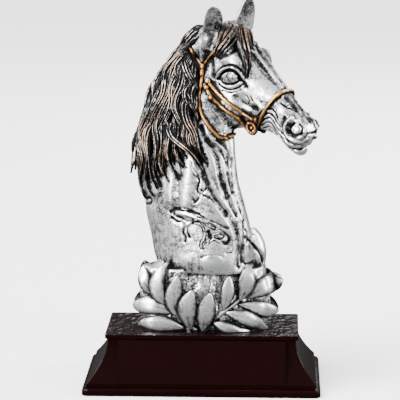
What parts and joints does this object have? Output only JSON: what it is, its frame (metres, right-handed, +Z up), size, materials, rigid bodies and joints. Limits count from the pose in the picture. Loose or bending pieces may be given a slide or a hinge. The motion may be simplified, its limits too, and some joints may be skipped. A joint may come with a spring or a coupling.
{
  "type": "horse head trophy",
  "caption": "Bridled horse head and neck in antique silver on a laurel-wreathed block, standing on a moulded dark plinth with coved sides.",
  "frame": {"origin": "middle of the plinth's underside, which is also the middle of the object's footprint", "axes": "+Z up; +X the way the horse's neck faces, to the right in the picture; -Y the front, towards the viewer"},
  "size_m": [0.1264, 0.0738, 0.2065],
  "materials": {
    "antique_silver": "cast resin with silver paint and a black wash left in the hollows; the bridle is picked out in bronze gold",
    "mahogany_plastic": "glossy dark mahogany red-brown moulded plastic"
  },
  "bodies": {
    "root": {"horse_bust": "antique_silver", "plinth": "mahogany_plastic"}
  },
  "joints": []
}
